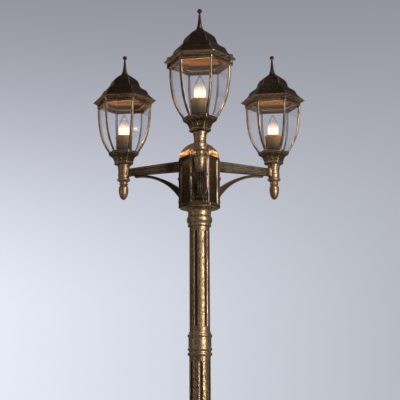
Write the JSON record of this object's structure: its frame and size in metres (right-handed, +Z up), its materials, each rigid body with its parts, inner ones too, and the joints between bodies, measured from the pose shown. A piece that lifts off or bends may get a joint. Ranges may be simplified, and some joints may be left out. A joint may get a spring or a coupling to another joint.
{
  "type": "triple head lamp post",
  "caption": "Garden lamp post: a fluted round column on a bolted bell foot carries a six-sided hub with bracketed arms and six-sided glazed lanterns with bell roofs.",
  "frame": {"origin": "on the post's axis, in the plane of the ground under the foot, at the middle of the anchor holes", "axes": "+Z up the post; the front lantern is over -Y; +X to the right seen from the front"},
  "size_m": [0.6912, 0.615, 2.3007],
  "materials": {
    "bronze_casting": "cast aluminium, antique black-bronze paint with gold rubbed on the edges",
    "dark_bolt": "blackened steel",
    "steel_screw": "zinc-plated",
    "pane_glass": "clear, gently wavy",
    "bulb_glass": "clear bulb glass",
    "bulb_cap": "plain metal cap",
    "lampholder": "dark brown moulded bakelite",
    "terminal_plastic": "pale moulded plastic",
    "brass_thread": "turned",
    "lead_sheath": "black flexible sheath"
  },
  "bodies": {
    "post": {"front_cage": "bronze_casting", "front_glass_panes": "pane_glass", "front_pane_retainer": "bronze_casting", "front_cup": "bronze_casting", "front_stem": "bronze_casting", "front_acorn": "bronze_casting", "front_lampholder": "lampholder", "front_arm": "bronze_casting", "front_bracket": "bronze_casting", "right_cage": "bronze_casting", "right_glass_panes": "pane_glass", "right_pane_retainer": "bronze_casting", "right_cup": "bronze_casting", "right_stem": "bronze_casting", "right_acorn": "bronze_casting", "right_lampholder": "lampholder", "right_arm": "bronze_casting", "right_bracket": "bronze_casting", "left_cage": "bronze_casting", "left_glass_panes": "pane_glass", "left_pane_retainer": "bronze_casting", "left_cup": "bronze_casting", "left_stem": "bronze_casting", "left_acorn": "bronze_casting", "left_lampholder": "lampholder", "left_arm": "bronze_casting", "left_bracket": "bronze_casting", "base_casting": "bronze_casting", "lower_tube": "bronze_casting", "lower_collar": "bronze_casting", "middle_tube": "bronze_casting", "middle_collar": "bronze_casting", "upper_tube": "bronze_casting", "hub_neck": "bronze_casting", "hub_housing": "bronze_casting", "hub_cap": "bronze_casting", "terminal_block": "terminal_plastic", "threaded_nipples": "brass_thread", "lock_nuts": "steel_screw", "cup_set_screws": "dark_bolt", "plate_bolts": "dark_bolt", "bracket_screws": "dark_bolt", "lamp_leads": "lead_sheath"},
    "front_lid": {"front_roof": "bronze_casting", "front_finial": "bronze_casting", "front_roof_screws": "dark_bolt"},
    "front_bulb": {"front_bulb_glass": "bulb_glass", "front_bulb_cap": "bulb_cap"},
    "right_lid": {"right_roof": "bronze_casting", "right_finial": "bronze_casting", "right_roof_screws": "dark_bolt"},
    "right_bulb": {"right_bulb_glass": "bulb_glass", "right_bulb_cap": "bulb_cap"},
    "left_lid": {"left_roof": "bronze_casting", "left_finial": "bronze_casting", "left_roof_screws": "dark_bolt"},
    "left_bulb": {"left_bulb_glass": "bulb_glass", "left_bulb_cap": "bulb_cap"}
  },
  "joints": [
    {"name": "front_roof_lift", "type": "slide", "parent": "post", "child": "front_lid", "axis": [0, 0, 1], "range_m": [0, 0.16]},
    {"name": "front_bulb_turn", "type": "hinge", "parent": "post", "child": "front_bulb", "pos_m": [0, -0.28, 2.028], "axis": [0, 0, 1], "continuous": true},
    {"name": "right_roof_lift", "type": "slide", "parent": "post", "child": "right_lid", "axis": [0, 0, 1], "range_m": [0, 0.16]},
    {"name": "right_bulb_turn", "type": "hinge", "parent": "post", "child": "right_bulb", "pos_m": [0.24249, 0.14, 2.028], "axis": [0, 0, 1], "continuous": true},
    {"name": "left_roof_lift", "type": "slide", "parent": "post", "child": "left_lid", "axis": [0, 0, 1], "range_m": [0, 0.16]},
    {"name": "left_bulb_turn", "type": "hinge", "parent": "post", "child": "left_bulb", "pos_m": [-0.24249, 0.14, 2.028], "axis": [0, 0, 1], "continuous": true}
  ]
}
